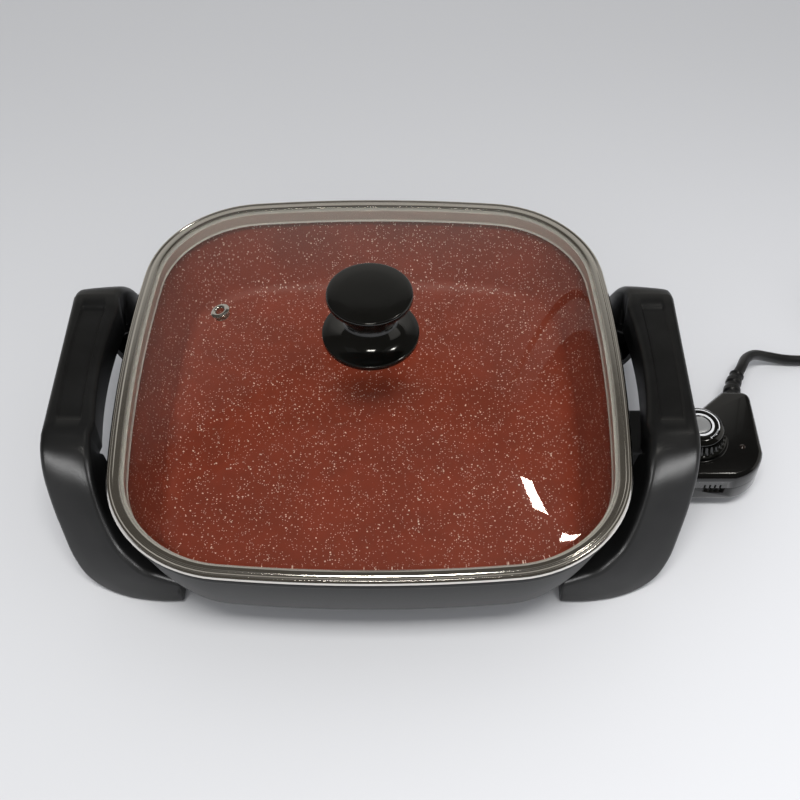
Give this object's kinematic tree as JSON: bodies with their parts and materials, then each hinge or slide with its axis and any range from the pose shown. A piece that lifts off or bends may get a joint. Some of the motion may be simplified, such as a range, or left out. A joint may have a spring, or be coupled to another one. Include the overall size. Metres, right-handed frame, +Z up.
{
  "type": "electric skillet",
  "caption": "Square electric skillet: speckled non-stick cast pan on two moulded handle-and-leg pieces, lift-off glass lid with steel rim and knob, plug-in heat control probe with cord.",
  "frame": {"origin": "centre of the skillet, its handles and plugged-in probe included, on the surface it stands on", "axes": "+X towards the side with the heat control probe, +Y towards the back, +Z up"},
  "size_m": [0.6536, 0.3291, 0.1573],
  "materials": {
    "coating": "cast aluminium with a satin red-brown non-stick coating, speckled cream inside, plain grey outside",
    "steel": "plain bright steel",
    "ceramic": "white, unglazed",
    "guard_enamel": "pressed sheet, black enamel",
    "handle_plastic": "fine matt grain",
    "rubber": "matt",
    "rim_steel": "polished stainless steel",
    "glass": "clear tempered glass",
    "knob_plastic": "glossy black",
    "brass": "plain",
    "silicone": "matt",
    "probe_plastic": "glossy black",
    "amber": "clear tinted lens",
    "dial_metal": null,
    "cord_rubber": "satin jacket",
    "tie_plastic": "flat strap",
    "plug_plastic": "moulded, satin"
  },
  "bodies": {
    "pan": {"pan": "coating", "heating_element": "steel", "terminal_pin_front": "steel", "terminal_pin_rear": "steel", "terminal_insulator_front": "ceramic", "terminal_insulator_rear": "ceramic", "probe_guard": "guard_enamel", "guard_screw_front": "steel", "guard_screw_rear": "steel", "handle_right": "handle_plastic", "handle_left": "handle_plastic", "foot_pad_right_front": "rubber", "handle_screw_right_front": "steel", "foot_pad_right_rear": "rubber", "handle_screw_right_rear": "steel", "foot_pad_left_front": "rubber", "handle_screw_left_front": "steel", "foot_pad_left_rear": "rubber", "handle_screw_left_rear": "steel"},
    "lid": {"lid_rim": "rim_steel", "lid_glass": "glass", "vent_eyelet": "rim_steel", "lid_knob": "knob_plastic", "knob_insert": "brass", "knob_gasket_upper": "silicone", "knob_gasket_lower": "silicone", "knob_washer": "steel", "knob_screw": "steel"},
    "probe": {"probe_housing_top": "probe_plastic", "probe_housing_bottom": "probe_plastic", "housing_screw_1": "steel", "housing_screw_2": "steel", "housing_screw_3": "steel", "sensor_rod": "steel", "contact_sleeve_front": "brass", "contact_sleeve_rear": "brass", "thermostat_frame": "steel", "contact_blade": "brass", "pilot_lens": "amber", "strain_relief": "cord_rubber", "cord_lead": "cord_rubber", "cord_coil": "cord_rubber", "cord_tail": "cord_rubber", "cord_tie": "tie_plastic", "plug_body": "plug_plastic", "plug_pin_live": "brass", "plug_pin_earth": "brass", "plug_pin_neutral": "brass"},
    "dial": {"dial_knob": "probe_plastic", "dial_cap": "dial_metal", "dial_shaft": "steel"}
  },
  "joints": [
    {"name": "lid_lift", "type": "slide", "parent": "pan", "child": "lid", "axis": [0, 0, 1], "range_m": [0, 0.15]},
    {"name": "probe_pull", "type": "slide", "parent": "pan", "child": "probe", "axis": [1, 0, 0], "range_m": [0, 0.1]},
    {"name": "dial_turn", "type": "hinge", "parent": "probe", "child": "dial", "pos_m": [0.17475, -0.007, 0.036], "axis": [0, 0, 1], "range_deg": [0, 270]}
  ]
}
